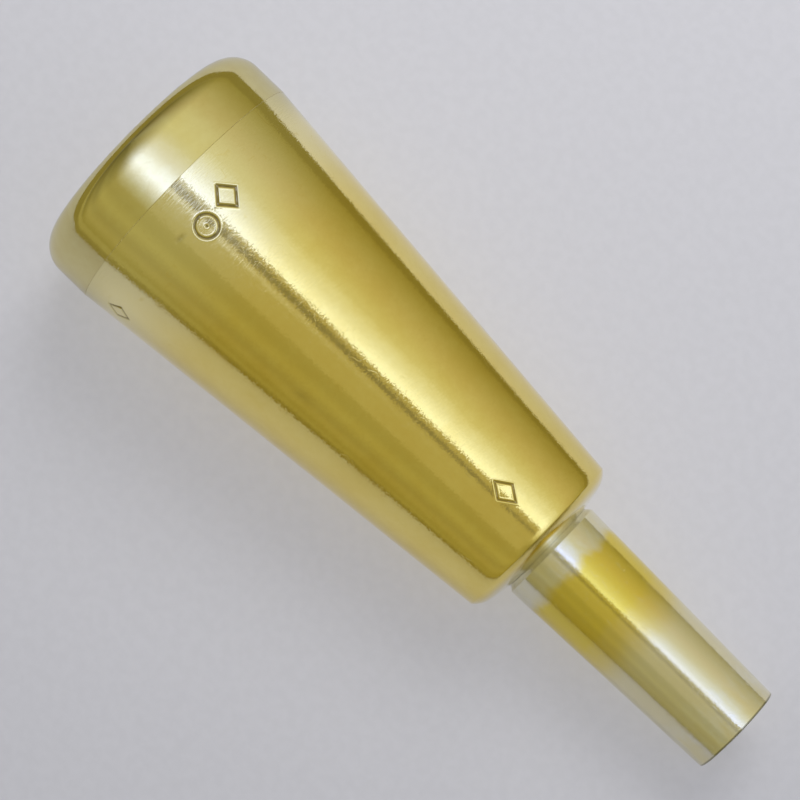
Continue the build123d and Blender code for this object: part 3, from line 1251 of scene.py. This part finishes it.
        # Painted reflection: past the sheet, glossy rays see a glowing table colour with a painted dark edge
        # instead of paper.
        aside = g.remap(g.math("ABSOLUTE", y), self.paper_half, self.paper_half * self.paper_blur)
        ahead = g.remap(g.times(x, -1.0), self.paper_front, self.paper_front * self.paper_blur)
        beyond = g.times(ray, g.math("MAXIMUM", aside, ahead))
        far = g.remap(g.times(y, -1.0), *(self.paper_half * end for end in self.edge_fade))
        painted_table_reflection = g.add("ShaderNodeEmission", {"Color": g.mix(far, self.painted_edge_shade, self.painted_table_reflection)}).outputs[0]
        seen = g.add("ShaderNodeMixShader", {0: beyond, 1: paper, 2: painted_table_reflection}).outputs[0]
        clear = g.add("ShaderNodeBsdfTransparent").outputs[0]
        below = g.add("ShaderNodeNewGeometry").outputs["Backfacing"]
        both = g.add("ShaderNodeMixShader", {0: below, 1: seen, 2: clear}).outputs[0]
        g.link(both, g.add("ShaderNodeOutputMaterial").inputs[0])
        return made

    def lay_floor(self) -> None:
        """Lays the floor along the cone and the rim's back edge, and level past the shank's end."""
        (x0, r0), (x1, r1) = self.ring_corner, self.cone_rear
        slope = math.atan2(r0 - r1, x1 - x0)
        h, bend = self.floor_half, self.level_over
        start = (self.sizes.overall - x0) * MM
        profile = [(-h, 0.0)]
        profile += [(start + d, -slope * d * d / (2 * bend)) for d in spread(0.0, bend, bend / 24)]
        profile.append((h, -slope * (h - start - bend / 2)))
        points = [(x, side * h, z) for x, z in profile for side in (-1, 1)]
        faces = [(2 * i, 2 * i + 2, 2 * i + 3, 2 * i + 1) for i in range(len(profile) - 1)]
        mesh = bpy.data.meshes.new("floor")
        mesh.from_pydata(points, [], faces)
        mesh.shade_smooth()
        floor = add_object("floor", mesh)
        floor.matrix_world = (Matrix.Translation(((x0 - AXIS_STATION) * MM, 0, -r0 * MM))
                              @ Matrix.Rotation(-slope, 4, "Y"))
        mesh.materials.append(self.floor_material())

    def build(self) -> None:
        """Makes the floor and the lights."""
        self.lay_floor()
        self.light_room()
        for lamp in self.lamps:
            lamp.hang(Vector((-self.sizes.overall * MM / 2, 0, 0)))


@dataclass
class CopyCamera:
    """Camera on a copy stand, looking nearly straight down, and a glowing card that paints the camera's dark
    reflection in the plating.
    """

    station: float = 47.17  # millimetres from the rim's crest
    height: float = 361.64
    lens: float = 168.74
    sensor: float = 36.0
    yaw: float = 1.8646
    pitch: float = -0.0346
    roll: float = 44.187
    # Painted reflection: the colours that the card glows with, paler at its edge and darker in its core.
    painted_reflection_colour: Colour = (0.47, 0.44, 0.26)
    painted_reflection_core: Colour = (0.25, 0.235, 0.165)
    front_sides: tuple[float, float, float, float] = (-0.06, 0.22, -0.2, 0.09)  # metres from the lens
    front_behind: float = 0.004  # metres behind the lens
    front_start: tuple[float, float] = (-42.0, -18.0)  # millimetres along the bore where the front fades in
    edge: Slope = Slope(-20.0, 90.0, 43.0, 66.0)  # the front's upper edge by the place along the bore
    edge_blur: float = 7.0
    gap: Slope = Slope(-11.0, 90.0, -42.0, -92.0)  # middle of the bright gap behind it
    gap_half: float = 16.0
    gap_blur: float = 14.0
    core_half: Slope = Slope(30.0, 85.0, 20.0, 8.0)
    core_blur: float = 4.0

    @staticmethod
    def lean(size: int = 3) -> Matrix:
        """The camera's lean as a matrix."""
        return Matrix.Rotation(math.radians(LEAN), size, "X")

    def axes(self) -> Matrix:
        """Works out where the camera points.

        Returns:
            Its right, up and back directions as the columns of a matrix, in the row frame.
        """
        turn = (Matrix.Rotation(math.radians(self.roll), 3, "Z")
                @ Matrix.Rotation(math.radians(self.pitch), 3, "X")
                @ Matrix.Rotation(math.radians(self.yaw), 3, "Y"))
        flip = Matrix.Diagonal((1, -1, -1))
        return self.lean() @ flip @ turn.transposed() @ flip

    def place(self) -> Vector:
        """Where the camera is, in metres."""
        return self.lean() @ Vector(((self.station - AXIS_STATION) * MM, 0, self.height * MM))

    def painted_reflection_material(self) -> bpy.types.Material:
        """Painted reflection of the camera: a dark glowing card with soft edges and a bright gap behind it.

        Returns:
            A new material.
        """
        made, g = empty_material("painted_camera_reflection")
        u, v = (g.times(place, 1 / MM) for place in g.coordinates()[0:2])
        inside = g.remap(g.minus(v, self.edge.at(g, u)), 0.0, -self.edge_blur)
        behind = g.minus(v, self.gap.at(g, u))
        inner = self.gap_half - self.gap_blur
        gap = g.times(g.remap(behind, -self.gap_half, -inner), g.remap(behind, self.gap_half, inner))
        gap = g.times(gap, g.remap(u, 30.0, -25.0, 0.14, 1.0))
        cover = g.times(g.times(inside, g.remap(u, *self.front_start)), g.minus(1.0, gap))
        depth = g.minus(self.core_half.at(g, u), g.math("ABSOLUTE", v))
        dark = g.mix(g.remap(depth, -self.core_blur, self.core_blur), self.painted_reflection_colour, self.painted_reflection_core)
        glow = g.add("ShaderNodeEmission", {"Color": dark}).outputs[0]
        clear = g.add("ShaderNodeBsdfTransparent").outputs[0]
        both = g.add("ShaderNodeMixShader", {0: cover, 1: clear, 2: glow}).outputs[0]
        g.link(both, g.add("ShaderNodeOutputMaterial").inputs[0])
        return made

    def build(self) -> None:
        """Makes the camera and the card around it that paints its dark reflection."""
        data = bpy.data.cameras.new("copy_camera")
        data.lens, data.sensor_width, data.sensor_fit = self.lens, self.sensor, "HORIZONTAL"
        data.clip_start, data.clip_end = 0.01, 10.0
        camera = add_object("copy_camera", data)
        camera.matrix_world = Matrix.Translation(self.place()) @ self.axes().to_4x4()
        bpy.context.scene.camera = camera
        mesh = bpy.data.meshes.new("painted_camera_reflection")
        left, right, low, high = self.front_sides
        corners = [(left, low, 0), (right, low, 0), (right, high, 0), (left, high, 0)]
        mesh.from_pydata(corners, [], [(0, 1, 2, 3)])
        front = add_object("painted_camera_reflection", mesh)
        front.matrix_world = (Matrix.Translation(self.place()) @ self.lean(4)
                              @ Matrix.Translation((0, 0, self.front_behind)))
        mesh.materials.append(self.painted_reflection_material())
        # The card shows only in reflections: a painted reflection, not a lamp.
        front.visible_camera = front.visible_shadow = front.visible_diffuse = False


def main() -> None:
    """Builds the mouthpiece and its studio, piece by piece."""
    logging.basicConfig(level=logging.INFO, format="%(name)s %(message)s")
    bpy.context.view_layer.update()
    sizes = Sizes()
    effects = Effects()
    marks = (
        PunchMark(MarkShape.DIAMOND, 10.95, 11.4 - LEAN, 2.7, 2.4),
        PunchMark(MarkShape.RING_AND_DOT, 11.6, -3.2 - LEAN, 2.3, 2.3),
        PunchMark(MarkShape.DIAMOND, 48.8, 5.4 - LEAN, 2.8, 2.0, stroke=0.10, depth=0.1),
        PunchMark(MarkShape.DIAMOND, 10.4, -69.0 - LEAN, 2.3, 2.2),
    )
    nicks = (
        Nick(10.55, -14.2 - LEAN, 0.35, 0.5, 0.05),
        Nick(8.1, 31.0 - LEAN, 0.3, 0.8, 0.04),
        Nick(29.0, -31.0 - LEAN, 0.9, 0.5, 0.03),
    )
    ScrewRim(sizes, Lathe(288), RIM_GOLD, "rim", "rim_gold", "rim_polished",
             reliefs=(sizes.rim_thread().cut,)).build(effects)
    CupBody(sizes, Lathe(180), BODY_GOLD, "cup_body", "body_gold", "cup_body_turned",
            marks=marks, nicks=nicks).build(effects)
    Backbore(sizes, Lathe(160), BACKBORE_SILVER, "backbore", "backbore_silver", "backbore_turned",
             reliefs=(sizes.stem_thread().cut,)).build(effects)
    ShankSleeve(sizes, Lathe(224), SLEEVE_SILVER, "shank_sleeve", "sleeve_silver",
                "shank_sleeve_worn").build(effects)
    Studio(sizes).build()
    CopyCamera().build()
    bpy.context.scene.view_settings.view_transform = "Standard"
    bpy.context.scene.view_settings.look = "None"


if __name__ == "__main__":
    main()
